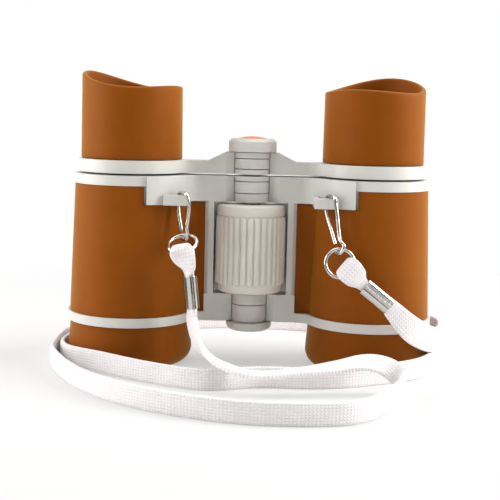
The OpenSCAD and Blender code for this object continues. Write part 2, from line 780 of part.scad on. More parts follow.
module spindle_cap() {
    color(plastic)
        translate([0, 0, z_cap])
            difference() {
                union() {
                    cylinder(h = cap_h - cap_edge, r = cap_r);
                    translate([0, 0, cap_h - cap_edge])
                        cylinder(h = cap_edge, r1 = cap_r, r2 = cap_r - cap_edge);
                }
                translate([0, 0, -over])
                    cylinder(h = cap_socket + over, r = pin_r + seat_fit);
                translate([0, 0, cap_h - disc_seat])
                    cylinder(h = disc_seat + over, r = disc_r + seat_fit);
            }
}

// Slightly domed disc in the cap
module cap_disc() {
    dome_r = (pow(disc_r, 2) + pow(disc_proud, 2)) / (2 * disc_proud);
    color(rubber)
        translate([0, 0, z_cap_top - disc_seat])
            intersection() {
                cylinder(h = disc_seat + disc_proud, r = disc_r);
                translate([0, 0, disc_seat + disc_proud - dome_r])
                    sphere(dome_r, $fn = 200);
            }
}

module left_hook() { color(nickel) bent_wire(left_hook_route, left_lug); }
module right_hook() { color(nickel) bent_wire(right_hook_route, right_lug); }
module left_ring() { color(nickel) hook_ring(left_lug + left_ring_from, left_ring_turn); }
module right_ring() { color(nickel) hook_ring(right_lug + right_ring_from, right_ring_turn); }
module left_ferrule() { color(nickel) ferrule_form(left_low, left_high, left_way); }
module right_ferrule() { color(nickel) ferrule_form(right_low, right_high, right_way); }
module left_strap_loop() {
    color(braid)
        strap_loop_form(left_low, left_high, left_lug + left_fold_from, left_way, left_fold_way,
            left_loop_shares);
}
module right_strap_loop() {
    color(braid)
        strap_loop_form(right_low, right_high, right_lug + right_fold_from, right_way, right_way,
            right_loop_shares);
}

// Braided strap that stands on its edge, twice behind the barrels, and spreads where it leaves the ferrules
module lanyard_strap() {
    ways = concat([[left_low, -left_way]], strap_route, [[right_low, right_way]]);
    points = spline([for (p = ways) p[0]], 2);
    widths = spline([for (p = ways) p[1]], 2);
    last = len(points) - 1;
    ends = len(strap_end_shares);
    shares = [for (i = [0 : last]) let (k = min(i, last - i)) k < ends ? strap_end_shares[k] : 1];
    color(braid)
        sweep(points, widths, shares, flat_section(strap_w, strap_t), left_low - left_high,
            right_high - right_low);
}

left_body();
right_body();
left_sleeve();
right_sleeve();
left_hood();
right_hood();
left_objective();
right_objective();
left_lens_ring();
right_lens_ring();
left_bridge_arm();
right_bridge_arm();
left_eyepiece_tube();
right_eyepiece_tube();
left_eyepiece_lens();
right_eyepiece_lens();
left_eyepiece_ring();
right_eyepiece_ring();
left_eyecup();
right_eyecup();
hinge_pin();
hinge_end_cap();
hinge_collar();
bridge_collar();
focus_wheel();
focus_spindle();
spindle_cap();
cap_disc();
left_hook();
right_hook();
left_ring();
right_ring();
left_ferrule();
right_ferrule();
left_strap_loop();
right_strap_loop();
lanyard_strap();
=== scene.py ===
"""Toy binoculars with a braided lanyard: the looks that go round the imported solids."""
import json
import math

import bpy
from bpy.props import FloatProperty, FloatVectorProperty, IntProperty, PointerProperty
from mathutils import Matrix, Vector


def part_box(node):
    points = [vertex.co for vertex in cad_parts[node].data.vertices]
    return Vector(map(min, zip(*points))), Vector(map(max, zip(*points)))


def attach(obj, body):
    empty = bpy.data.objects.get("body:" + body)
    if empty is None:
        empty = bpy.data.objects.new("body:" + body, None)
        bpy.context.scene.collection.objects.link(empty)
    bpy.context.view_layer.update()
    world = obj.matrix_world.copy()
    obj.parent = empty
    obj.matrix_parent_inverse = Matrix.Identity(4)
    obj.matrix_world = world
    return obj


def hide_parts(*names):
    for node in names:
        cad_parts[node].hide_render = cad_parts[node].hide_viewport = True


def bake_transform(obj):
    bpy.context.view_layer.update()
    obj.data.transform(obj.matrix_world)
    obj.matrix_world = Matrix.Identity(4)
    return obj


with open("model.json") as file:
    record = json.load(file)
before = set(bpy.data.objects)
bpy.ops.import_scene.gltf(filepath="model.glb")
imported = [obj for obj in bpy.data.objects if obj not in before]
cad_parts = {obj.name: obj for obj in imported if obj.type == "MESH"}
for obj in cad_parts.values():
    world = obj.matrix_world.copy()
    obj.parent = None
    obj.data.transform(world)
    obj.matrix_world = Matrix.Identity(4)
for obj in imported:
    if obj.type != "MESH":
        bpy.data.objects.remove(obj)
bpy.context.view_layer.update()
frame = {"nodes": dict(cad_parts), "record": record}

bl_info = {
    "name": "Toy binoculars",
    "version": (1, 0, 0),
    "blender": (4, 5, 0),
    "location": "View3D > Sidebar > Binoculars",
    "description": "Dresses a pair of toy binoculars with rubber, plastic, nickel wire and a braided lanyard",
    "category": "Object",
}

MM = 0.001
NODES = frame["nodes"]
MOUNTS = {mount["name"]: Vector(mount["pos_m"]) for mount in frame["record"]["mounts"]}
SIDES = ("left", "right")

# Fineness: points on each stretch of a route, round a section and round a turned piece
STRAP_STEPS = 12
LOOP_STEPS = 10
HOOK_STEPS = 10
STRAP_SIDES = 20
WIRE_SIDES = 16
ROUND_STEPS = 128

# Ends of the lanyard, in millimetres from the middle of each lug's bar: the two ends of the ferrule,
# the middle of the fold, the ways that the widths run there, and shares of the strap's width along it
LANYARD_ENDS = {
    "left": {"low": (5.3, -6.6, -27.1), "high": (4.4, -6.1, -18.9), "fold": (2.45, -6.5, -12.4),
             "way": (0.4, -0.92, 0.1), "fold_way": (0.97, 0, 0.2),
             "shares": (0.54, 0.54, 0.7, 0.76, 0.8, 1.18, 1.1, 0.54, 0.54)},
    "right": {"low": (16.5, -6.3, -25.5), "high": (10, -5.9, -20.4), "fold": (5.45, -5.2, -16.3),
              "way": (0.63, 0.2, 0.75), "fold_way": (0.63, 0.2, 0.75),
              "shares": (0.54, 0.54, 1, 1.1, 0.94, 1.24, 1.1, 0.54, 0.54)},
}
# Share of the strap's width at its first points, from either ferrule
STRAP_END_SHARES = (0.84, 1.26, 1.26, 1.12)

# Two layers of a strap loop inside a ferrule: the gap between them, and how far they stop short of its end
LAYER_GAP = 0.1 * MM
LOOP_INSET = 0.2 * MM

# Open seam of a ferrule: its width, and how far it lies off the middle of the forward side
SEAM_WIDTH = 1.2 * MM
SEAM_OFF = 0.75 * MM
# Steps round the ferrule's edge beside the seam and round its other edge, and the angle that stays sharp
SEAM_EDGE_STEPS = 24
FAR_EDGE_STEPS = 32
SHEET_CREASE = math.radians(40)

# Bent wire of the hooks, in millimetres from the middle of each lug's bar
HOOK_ROUTES = {
    "left": [(1.6, 0.8, -8.2), (1.5, 0.95, -7.1), (0.95, 1.6, -4.5), (0.6, 2.2, -1.7), (0.5, 2.2, 0.2),
             (0.9, 1.85, 1.7), (1.9, 0, 1.98), (2.9, -1.85, 1.7), (3.5, -2.2, 0.3), (3.7, -2.2, -1.5),
             (3.5, -2.15, -4.5), (3.2, -2.1, -7), (3.35, -2.05, -8.6), (3.1, -1.65, -9.85),
             (2.4, -0.5, -10.25), (1.8, 0.55, -10.1), (1.65, 0.85, -9.35)],
    "right": [(2.45, -2.6, -10.2), (2.05, -1.95, -9), (1.25, -0.6, -6.4), (0.55, 0.8, -4.2),
              (0, 1.95, -1.8), (-0.1, 2.2, 0.1), (0.3, 1.85, 1.7), (1.15, 0, 1.98), (1.9, -1.85, 1.7),
              (2.2, -2.2, 0), (2.7, -2.75, -3.3), (3.2, -3.6, -7.6), (3.6, -4.4, -9.1),
              (4.4, -5.2, -10.1), (4.2, -5.4, -11.2), (3.6, -4.95, -12.15), (3.15, -4.05, -12.4),
              (2.75, -3.15, -12.2), (2.6, -2.8, -11.4)],
}

# Route of the strap between the two ferrules, in millimetres, each point with the way that its width runs
ON_EDGE = (0, 0, 1)
STRAP_ROUTE = [
    ((-14.2, -20.4, 14.4), (-0.4, 1, 0)), ((-11.6, -25.8, 9.6), (-0.3, 1, -0.1)),
    ((-6, -33.4, 6.8), (-0.1, 1, 0)), ((2, -36.9, 5.3), (0, 1, 0)), ((12, -36, 6), (0, 1, 0)),
    ((21.5, -34.2, 7), (0, 1, 0.25)), ((29, -32.9, 8.1), (0, 1, 0.55)),
    ((34.8, -31.9, 6.8), (0, 0.7, 0.9)), ((38.2, -34.6, 4), (0.1, 0.1, 1)),
    ((35.4, -43, 2.8), ON_EDGE), ((28, -56.2, 2.8), ON_EDGE), ((18, -61.4, 2.8), ON_EDGE),
    ((-2, -61.2, 2.8), ON_EDGE), ((-22, -52.6, 2.8), ON_EDGE), ((-37, -39.7, 2.8), ON_EDGE),
    ((-47.5, -22.4, 2.8), ON_EDGE), ((-52.8, -3, 2.8), ON_EDGE), ((-48, 26, 2.8), ON_EDGE),
    ((-17, 46.8, 2.8), ON_EDGE), ((17, 46.8, 2.8), ON_EDGE), ((48, 26, 2.8), ON_EDGE),
    ((51.8, 3, 2.8), ON_EDGE), ((45.4, -13.8, 2.8), ON_EDGE), ((33, -22.9, 2.8), ON_EDGE),
    ((19, -28.2, 2.8), ON_EDGE), ((3, -28.8, 2.8), ON_EDGE), ((-10, -32.8, 2.8), ON_EDGE),
    ((-24, -26.8, 2.8), ON_EDGE), ((-38, -18.4, 3.3), ON_EDGE), ((-48.5, -9.8, 3.3), ON_EDGE),
    ((-50.5, 5.5, 2.8), ON_EDGE), ((-43.5, 25.6, 2.8), ON_EDGE), ((-16, 44.7, 2.8), ON_EDGE),
    ((16, 44.7, 2.8), ON_EDGE), ((40.5, 31, 4), ON_EDGE), ((50, 16, 8.8), ON_EDGE),
    ((53, 5, 9.2), ON_EDGE), ((49.8, -6.8, 8.9), (0.1, 0, 1)), ((42.6, -17.4, 13.5), (0.5, 0.1, 0.95)),
]

# Eyecup: radii at its foot and rim, of its well, of the hole in its shelf and of the bore under that
CUP_FOOT_R = 13.55 * MM
CUP_RIM_R = 13.4 * MM
CUP_WELL_R = 11 * MM
CUP_HOLE_R = 9.4 * MM
CUP_BORE_R = 11.95 * MM
# Eyecup: height of the rim's lowest place and of the shelf's underside, the shelf's thickness, and the
# rounding of edges with the share of it that is left at the middle of the outer edge and of the well's corner
CUP_LOW_H = 18.9 * MM
CUP_SHELF_H = 8.6 * MM
CUP_SHELF_T = 1 * MM
CUP_EDGE = 0.35 * MM
CUP_EDGE_SHARE = 0.3
CUP_CORNER_SHARE = 0.4
# Steps up the eyecup's wall, over its lip and down its well
CUP_WALL_STEPS = 10
CUP_LIP_STEPS = 8
CUP_WELL_STEPS = 7

# Focus wheel: radius over its ribs, how far its core and flange lie under that, and the radius of its bore
WHEEL_TIP_R = 9.6 * MM
WHEEL_CORE_DEPTH = 0.65 * MM
WHEEL_FLANGE_DEPTH = 0.35 * MM
WHEEL_BORE_R = 2.45 * MM
# Focus wheel: heights of its plain foot and its flange, the flange's chamfer and the slope under it,
# the share of the foot's height where the ribs start, and the angle that stays sharp
WHEEL_FOOT_H = 2.4 * MM
WHEEL_FLANGE_H = 2.9 * MM
FLANGE_CHAMFER = 0.12 * MM
FLANGE_SLOPE = 0.02 * MM
RIB_START_SHARE = 0.85
WHEEL_CREASE = math.radians(50)
# Rounded edges of the wheel's foot and flange, in millimetres in from the side and in from the end
FOOT_ROUNDING = ((0.9, 0), (0.5, 0.15), (0.1, 0.6), (0, 0.95))
FLANGE_ROUNDING = ((0, 0.5), (0.15, 0.15), (0.5, 0))
# Rib: steps along it and round it, and a power that makes its rounded ends shorter as it grows
RIB_STEPS = 40
RIB_SIDES = 12
RIB_END_POWER = 30.0

# Lamps, in metres: where each one stands and how wide it is, and the point that they face
LAMPS = {
    "key": ((0.36, -0.02, 0.24), 0.3),
    "fill": ((-0.37, -0.05, 0.18), 0.3),
    "top": ((0.02, 0.04, 0.42), 0.35),
}
LAMP_AIM = Vector((0, 0, 0.035))

# Black cards: direction from the object in degrees and half the width in metres of each one,
# then how far off they stand, how high they are, and their colour
CARDS = {"left": (-140, 0.12), "front": (-90, 0.11), "right": (-52, 0.08)}
CARD_REACH = 0.36
CARD_HEIGHT = 0.3
CARD_BLACK = "#0C0C0D"

# Floor, in metres: half its width, where it bends up behind the object, the bend's radius and steps, its top
FLOOR_REACH = 1.5
BEND_AT = 0.5
BEND_RADIUS = 0.3
BEND_STEPS = 16
FLOOR_TOP = 0.8
# Distances from the middle between which the floor runs out to plain white, and how white it is at the first
WHITE_FROM = 0.07
WHITE_BY = 0.2
NEAR_WHITE = 0.45

# Camera: sensor width in millimetres and the nearest distance that shows, in metres
SENSOR_WIDTH = 36
CLIP_START = 0.01

WHITE = (1.0, 1.0, 1.0, 1.0)


# Colours and small helpers

def linear(code):
    """An sRGB hex colour as linear red, green and blue."""
    parts = [int(code[i:i + 2], 16) / 255 for i in (1, 3, 5)]
    return tuple(p / 12.92 if p <= 0.04045 else ((p + 0.055) / 1.055) ** 2.4 for p in parts)


def rgba(colour):
    """A colour with full cover."""
    return (*colour, 1.0)


def at_lug(side, point):
    """A point given in millimetres from the middle of a lug's bar."""
    return MOUNTS[f"{side}_lug"] + Vector(point) * MM


def add(tree, kind, links=None, **settings):
    """A node with its settings, and its inputs set to a value or linked to another node's output."""
    made = tree.nodes.new(kind)
    for name, value in settings.items():
        setattr(made, name, value)
    for socket, value in (links or {}).items():
        if isinstance(value, bpy.types.NodeSocket):
            tree.links.new(value, made.inputs[socket])
        else:
            made.inputs[socket].default_value = value
    return made


def cleared(owner):
    """The emptied node tree of a material or a world."""
    owner.use_nodes = True
    owner.node_tree.nodes.clear()
    return owner.node_tree


def geometry_tree(name, inputs):
    """A Geometry Nodes tree with a geometry in and out, and the given inputs by name and kind."""
    tree = bpy.data.node_groups.new(name, "GeometryNodeTree")
    for label, kind in {"Geometry": "Geometry", **inputs}.items():
        tree.interface.new_socket(label, in_out="INPUT", socket_type=f"NodeSocket{kind}")
    tree.interface.new_socket("Geometry", in_out="OUTPUT", socket_type="NodeSocketGeometry")
    return tree


def spline(points, steps):
    """Values on a smooth curve through the given ones."""
    found = []
    last = len(points) - 1
    for i in range(last):
        a, b, c, d = points[max(i - 1, 0)], points[i], points[i + 1], points[min(i + 2, last)]
        for j in range(steps):
            t = j / steps
            bend = (2 * a - 5 * b + 4 * c - d) * t ** 2 + (3 * b - a - 3 * c + d) * t ** 3
            found.append(b + ((c - a) * t + bend) / 2)
    return found + [points[last] * 1]


def across(way, heading):
    """The part of a way that lies square to a heading, as a unit vector."""
    return (way - way.dot(heading) * heading).normalized()


def rounded_section(width, thickness):
    """Outline of a flat strap with full, soft edges."""
    found = []
    for k in range(STRAP_SIDES):
        turn = 2 * math.pi * k / STRAP_SIDES
        x, y = math.cos(turn), math.sin(turn)
        x, y = (math.copysign(abs(v) ** 0.5, v) / 2 for v in (x, y))
        found.append((x * width, y * thickness))
    return found


def swept_mesh(name, points, widths, shares, section, start, finish):
    """A closed mesh of a section swept along points, with a map of distance along and across in metres."""
    verts, faces, maps = [], [], []
    count, last, along = len(section), len(points) - 1, 0.0
    for i, point in enumerate(points):
        heading = points[min(i + 1, last)] - points[max(i - 1, 0)]
        heading = (start if i == 0 else finish if i == last else heading).normalized()
        wide = across(widths[i], heading)
        thick = heading.cross(wide)
        along += (point - points[max(i - 1, 0)]).length
        for x, y in section:
            verts.append(point + wide * x * shares[i] + thick * y)
            maps.append((along, x))
    for i in range(last):
        for k in range(count):
            a, b = i * count + k, i * count + (k + 1) % count
            faces.append((a, b, b + count, a + count))
    faces.append(tuple(reversed(range(count))))
    faces.append(tuple(last * count + k for k in range(count)))
    mesh = bpy.data.meshes.new(name)
    mesh.from_pydata(verts, [], faces)
    layer = mesh.uv_layers.new(name="strap")
    for loop in mesh.loops:
        layer.data[loop.index].uv = maps[loop.vertex_index]
    mesh.shade_smooth()
    return mesh


def lathe_mesh(name, profile, centre):
    """A closed mesh turned from a closed profile of radius and height, which is given for each angle."""
    verts, faces = [], []
    for i in range(ROUND_STEPS):
        turn = 2 * math.pi * i / ROUND_STEPS
        outline = profile(turn)
        count = len(outline)
        verts += [centre + Vector((r * math.cos(turn), r * math.sin(turn), z)) for r, z in outline]
    for i in range(ROUND_STEPS):
        here, there = i * count, (i + 1) % ROUND_STEPS * count
        for k in range(count):
            after = (k + 1) % count
            faces.append((here + k, there + k, there + after, here + after))
    mesh = bpy.data.meshes.new(name)
    mesh.from_pydata(verts, [], faces)
    mesh.shade_smooth()
    return mesh


def piece(name, mesh, material, body, replaced=()):
    """A finished object that rides on a body and stands for the given solids."""
    made = bpy.data.objects.new(name, mesh)
    bpy.context.scene.collection.objects.link(made)
    made.data.materials.clear()
    made.data.materials.append(material)
    if body:
        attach(made, body)
    if replaced:
        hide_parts(*replaced)
    return made


def grown(name, tree, source, inputs):
    """The plain mesh that a node tree makes from a source object, which is then removed."""
    modifier = source.modifiers.new(name, "NODES")
    modifier.node_group = tree
    names = {item.name: item.identifier for item in tree.interface.items_tree if item.in_out == "INPUT"}
    for label, value in inputs.items():
        modifier[names[label]] = value
    graph = bpy.context.evaluated_depsgraph_get()
    mesh = bpy.data.meshes.new_from_object(source.evaluated_get(graph))
    mesh.name = name
    bpy.data.objects.remove(source)
    return mesh


def paint(material, *nodes):
    """Puts a material on solids that keep their own shape."""
    for name in nodes:
        solid = NODES[name]
        solid.data.materials.clear()
        solid.data.materials.append(material)


# Materials

def new_material(name):
    """An empty material with its shader, its output and Object coordinates in metres."""
    made = bpy.data.materials.new(name)
    tree = cleared(made)
    shader = add(tree, "ShaderNodeBsdfPrincipled")
    add(tree, "ShaderNodeOutputMaterial", {"Surface": shader.outputs[0]})
    return made, tree, shader, add(tree, "ShaderNodeTexCoord").outputs["Object"]


def mottle(tree, place, shader, colour, change, size, rough):
    """A moulded colour that drifts a little over the given size, with its roughness drifting alike."""
    noise = add(tree, "ShaderNodeTexNoise", {
        "Vector": place, "Scale": 1 / size, "Detail": 4.0, "Roughness": 0.6})
    dark = tuple(c * (1 - change) for c in colour)
    light = tuple(min(1.0, c * (1 + change)) for c in colour)
    ramp = add(tree, "ShaderNodeMapRange", {"Value": noise.outputs[0], "From Min": 0.3, "From Max": 0.7})
    mix = add(tree, "ShaderNodeMix", {0: ramp.outputs[0], 6: rgba(dark), 7: rgba(light)}, data_type="RGBA")
    tree.links.new(mix.outputs[2], shader.inputs["Base Color"])
    gloss = add(tree, "ShaderNodeMapRange", {
        "Value": noise.outputs[0], "From Min": 0.3, "From Max": 0.7, "To Min": rough[0], "To Max": rough[1]})
    tree.links.new(gloss.outputs[0], shader.inputs["Roughness"])


def grain(tree, place, shader, size, depth, edge):
    """A fine skin of the given grain size and depth, over edges softened to the given radius."""
    soft = add(tree, "ShaderNodeBevel", {"Radius": edge}, samples=6)
    noise = add(tree, "ShaderNodeTexNoise", {"Vector": place, "Scale": 1 / size, "Detail": 2.0})
    bump = add(tree, "ShaderNodeBump", {
        "Height": noise.outputs[0], "Distance": depth, "Strength": 1.0, "Normal": soft.outputs[0]})
    tree.links.new(bump.outputs[0], shader.inputs["Normal"])


def soft_touch_rubber(colours):
    """Thermoplastic rubber from a satin mould: matt, with a golden bloom at grazing angles."""
    made, tree, shader, place = new_material("soft_touch_rubber")
    mottle(tree, place, shader, colours.rubber, change=0.05, size=9 * MM, rough=(0.5, 0.6))
    # the grain is drawn at 0.4 mm, coarser than the real 0.1 mm, so that it shows
    grain(tree, place, shader, size=0.4 * MM, depth=0.012 * MM, edge=0.35 * MM)
    shader.inputs["IOR"].default_value = 1.5
    shader.inputs["Specular IOR Level"].default_value = 0.08
    shader.inputs["Sheen Weight"].default_value = 0.38
    shader.inputs["Sheen Roughness"].default_value = 0.4
    shader.inputs["Sheen Tint"].default_value = rgba(colours.bloom)
    return made


def moulded_abs(name, colour, rough):
    """Moulded ABS: even colour with slight flow marks and a satin skin."""
    made, tree, shader, place = new_material(name)
    mottle(tree, place, shader, colour, change=0.03, size=14 * MM, rough=rough)
    # the grain is drawn at 0.35 mm, coarser than the real one, so that it shows
    grain(tree, place, shader, size=0.35 * MM, depth=0.008 * MM, edge=0.22 * MM)
    shader.inputs["IOR"].default_value = 1.52
    return made


def turned_steel(colours):
    """Steel rod turned to size: a plain grey metal with a fine, even skin."""
    made, tree, shader, place = new_material("turned_steel")
    mottle(tree, place, shader, colours.steel, change=0.03, size=14 * MM, rough=(0.25, 0.35))
    grain(tree, place, shader, size=0.35 * MM, depth=0.008 * MM, edge=0.22 * MM)
    shader.inputs["Metallic"].default_value = 1.0
    return made


def nickel_plate(colours):
    """Bright nickel on steel: sharp reflections, with a faint grain and duller patches."""
    made, tree, shader, place = new_material("nickel_plate")
    mottle(tree, place, shader, colours.nickel, change=0.06, size=2 * MM, rough=(0.1, 0.2))
    # the grain is drawn at 0.25 mm, coarser than real plating has it, so that it shows
    grain(tree, place, shader, size=0.25 * MM, depth=0.002 * MM, edge=0.1 * MM)
    shader.inputs["Metallic"].default_value = 1.0
    return made


def clear_acrylic(colours):
    """Moulded acrylic lens: clear, with a faint ripple from the mould."""
    made, tree, shader, place = new_material("clear_acrylic")
    mottle(tree, place, shader, colours.lens, change=0.02, size=6 * MM, rough=(0.02, 0.05))
    grain(tree, place, shader, size=5 * MM, depth=0.004 * MM, edge=0.1 * MM)
    shader.inputs["IOR"].default_value = 1.49
    shader.inputs["Transmission Weight"].default_value = 1.0
    return made


def knit_braid(colours, sizes):
    """Flat cord knitted from polyester yarn: rows of small V stitches along its length, with painted shade in
    the gaps between them.
    """
    made, tree, shader, _ = new_material("knit_braid")
    spot = add(tree, "ShaderNodeUVMap", uv_map="strap")
    part = add(tree, "ShaderNodeSeparateXYZ", {0: spot.outputs[0]})
    # one row of stitches is about 0.7 mm wide, and a stitch is a little longer than that
    row = add(tree, "ShaderNodeMath", {0: part.outputs[1], 1: sizes.stitch_width}, operation="DIVIDE")
    inside = add(tree, "ShaderNodeMath", {0: row.outputs[0]}, operation="FRACT")
    middle = add(tree, "ShaderNodeMath", {0: inside.outputs[0], 1: 0.5}, operation="SUBTRACT")
    off = add(tree, "ShaderNodeMath", {0: middle.outputs[0]}, operation="ABSOLUTE")
    step = add(tree, "ShaderNodeMath", {0: part.outputs[0], 1: sizes.stitch_length}, operation="DIVIDE")
    # each leg of the V slants by a little more than half a stitch
    slant = add(tree, "ShaderNodeMath", {0: off.outputs[0], 1: 1.1, 2: step.outputs[0]},
                operation="MULTIPLY_ADD")
    turn = add(tree, "ShaderNodeMath", {0: slant.outputs[0]}, operation="FRACT")
    half = add(tree, "ShaderNodeMath", {0: turn.outputs[0], 1: math.pi}, operation="MULTIPLY")
    leg = add(tree, "ShaderNodeMath", {0: half.outputs[0]}, operation="SINE")
    side = add(tree, "ShaderNodeMapRange", {
        "Value": off.outputs[0], "From Min": 0.25, "From Max": 0.5, "To Min": 1.0, "To Max": 0.15})
    height = add(tree, "ShaderNodeMath", {0: leg.outputs[0], 1: side.outputs[0]}, operation="MULTIPLY")
    fuzz = add(tree, "ShaderNodeTexNoise", {"Vector": spot.outputs[0], "Scale": 1 / (3 * MM), "Detail": 3.0})
    # the colour runs from the strap shade in the gaps to the strap colour on the raised yarn: painted shade
    # in the hollows of the knit
    mix = add(tree, "ShaderNodeMix", {
        0: height.outputs[0], 6: rgba(colours.strap_shade), 7: rgba(colours.strap)}, data_type="RGBA")
    tint = add(tree, "ShaderNodeMapRange", {
        "Value": fuzz.outputs[0], "From Min": 0.35, "From Max": 0.65, "To Min": 0.95, "To Max": 1.0})
    yarn = add(tree, "ShaderNodeVectorMath", {0: mix.outputs[2], "Scale": tint.outputs[0]}, operation="SCALE")
    tree.links.new(yarn.outputs[0], shader.inputs["Base Color"])
    bump = add(tree, "ShaderNodeBump", {"Height": height.outputs[0], "Distance": 0.16 * MM, "Strength": 0.7})
    tree.links.new(bump.outputs[0], shader.inputs["Normal"])
    gloss = add(tree, "ShaderNodeMapRange", {"Value": height.outputs[0], "To Min": 0.85, "To Max": 0.6})
    tree.links.new(gloss.outputs[0], shader.inputs["Roughness"])
    shader.inputs["Specular IOR Level"].default_value = 0.3
    shader.inputs["Sheen Weight"].default_value = 0.2
    return made


def material(name, make, *values):
    """A material made once and shared."""
    return bpy.data.materials.get(name) or make(*values)


def rubber():
    """Finish of the sleeves, hoods and eyecups."""
    return material("soft_touch_rubber", soft_touch_rubber, settings().colours)


def frame_plastic():
    """Finish of the halves, the bridge and the caps on the hinge."""
    return material("light_grey_abs", moulded_abs, "light_grey_abs", settings().colours.frame, (0.38, 0.5))


def wheel_plastic():
    """Finish of the focus wheel."""
    return material("off_white_abs", moulded_abs, "off_white_abs", settings().colours.wheel, (0.36, 0.48))


def braid():
    """Finish of the strap and its loops."""
    return material("knit_braid", knit_braid, settings().colours, settings().sizes)


def nickel():
    """Finish of the hooks, rings and ferrules."""
    return material("nickel_plate", nickel_plate, settings().colours)


# Settings that a user would change

def length_setting(name, description, default):
    """A property that holds a length in metres."""
    return FloatProperty(name=name, description=description, default=default, unit="LENGTH", precision=5)


def angle_setting(name, description, degrees):
    """A property that holds an angle, given here in degrees."""
    return FloatProperty(name=name, description=description, default=math.radians(degrees), subtype="ANGLE")


def power_setting(name, description, default):
    """A property that holds a lamp's power in watts."""
    return FloatProperty(name=name, description=description, default=default, unit="POWER", min=0)


def colour_setting(name, description, code):
    """A property that holds a colour, given here as an sRGB hex value."""
    return FloatVectorProperty(name=name, description=description, default=linear(code), subtype="COLOR",
                               min=0, max=1)


class BinocularSizes(bpy.types.PropertyGroup):
    """Sizes of the pieces that are made here."""
    strap_width: length_setting("Strap width", "Width of the braided strap", 5.4 * MM)
    strap_thickness: length_setting("Strap thickness", "Thickness of the braided strap", 1.4 * MM)
    stitch_width: length_setting("Stitch width", "Width of one row of stitches", 0.72 * MM)
    stitch_length: length_setting("Stitch length", "Length of one stitch along the strap", 0.85 * MM)
    loop_bend: length_setting("Loop bend", "Radius that the strap turns on where it holds a ring", 1.45 * MM)
    loop_thickness: length_setting("Loop thickness", "Thickness of one layer of a strap loop", 0.9 * MM)
    wire: length_setting("Wire", "Diameter of the wire of the hooks", 1.0 * MM)
    ferrule_width: length_setting("Ferrule width", "Width of a ferrule", 4.6 * MM)
    ferrule_wall: length_setting("Ferrule wall", "Thickness of the sheet of a ferrule", 0.35 * MM)
    ferrule_thickness: length_setting("Ferrule thickness", "Thickness of a ferrule", 3.2 * MM)
    cup_lip: length_setting("Eyecup lip", "Thickness of the rim of an eyecup", 1.3 * MM)
    scoop: length_setting("Eyecup scoop", "Radius of the scoop that shapes the winged rim", 42 * MM)
    scoop_shift: length_setting("Scoop shift", "How far the scoop is set off towards the low side", 5.8 * MM)
    left_wing: angle_setting("Left wing", "Direction of the left eyecup's wing", 160)
    right_wing: angle_setting("Right wing", "Direction of the right eyecup's wing", 64)
    ribs: IntProperty(name="Wheel ribs", description="Number of ribs round the focus wheel",
                      default=32, min=8, max=60)
    rib_radius: length_setting("Rib radius", "Radius of one rib of the focus wheel", 0.75 * MM)


class BinocularColours(bpy.types.PropertyGroup):
    """Colours of the finishes."""
    rubber: colour_setting("Rubber", "Sleeves, hoods and eyecups", "#844405")
    bloom: colour_setting("Rubber bloom", "Sheen of the rubber at grazing angles", "#F9D872")
    frame: colour_setting("Frame", "Bands, arms, rails and caps", "#CDCCC6")
    wheel: colour_setting("Wheel", "Focus wheel", "#DAD6CA")
    strap: colour_setting("Strap", "Raised yarn of the strap", "#F2EFEF")
    # the strap shade is painted shade in the gaps between the stitches
    strap_shade: colour_setting("Strap shade", "Gaps between the stitches", "#E0DADC")
    nickel: colour_setting("Nickel", "Hooks, rings and ferrules", "#CFCBC4")
    disc: colour_setting("Disc", "Disc in the cap of the spindle", "#C9793A")
    black: colour_setting("Inside", "Tubes and rings inside the barrels", "#26262A")
    lens: colour_setting("Lenses", "Tint of the clear lenses", "#F2F8F6")
    steel: colour_setting("Steel", "Hinge pin and focus spindle", "#B9B8B4")


class BinocularStage(bpy.types.PropertyGroup):
    """Camera, floor and light."""
    camera: FloatVectorProperty(name="Camera", description="Where the camera stands", subtype="XYZ",
                                unit="LENGTH", default=(2.12 * MM, -299 * MM, 69.2 * MM))
    heading: angle_setting("Heading", "Turn of the camera to its left", 0.42)
    pitch: angle_setting("Pitch", "Tilt of the camera below the horizon", 7.26)
    roll: angle_setting("Roll", "Turn of the picture, clockwise", 1.37)
    lens: FloatProperty(name="Lens", description="Focal length on a 36 mm sensor", unit="CAMERA",
                        default=79.56, min=10, max=300)
    floor: colour_setting("Floor", "Colour of the floor", "#F4F3F2")
    floor_shade: colour_setting("Floor shade", "Grey that the floor's shadows are drawn in", "#D2D1D0")
    key: power_setting("Key lamp", "Power of the lamp on the right", 2.45)
    fill: power_setting("Fill lamp", "Power of the lamp on the left", 1.7)
    top: power_setting("Top lamp", "Power of the lamp overhead", 0.9)
    sky: FloatProperty(name="Surroundings", description="Brightness of the white surroundings",
                       subtype="FACTOR", default=0.26, min=0, max=1)


class BinocularSettings(bpy.types.PropertyGroup):
    """All settings of the binoculars."""
    sizes: PointerProperty(type=BinocularSizes)
    colours: PointerProperty(type=BinocularColours)
    stage: PointerProperty(type=BinocularStage)


def settings():
    """The settings of the open scene."""
    return bpy.context.scene.toy_binoculars


# Operators

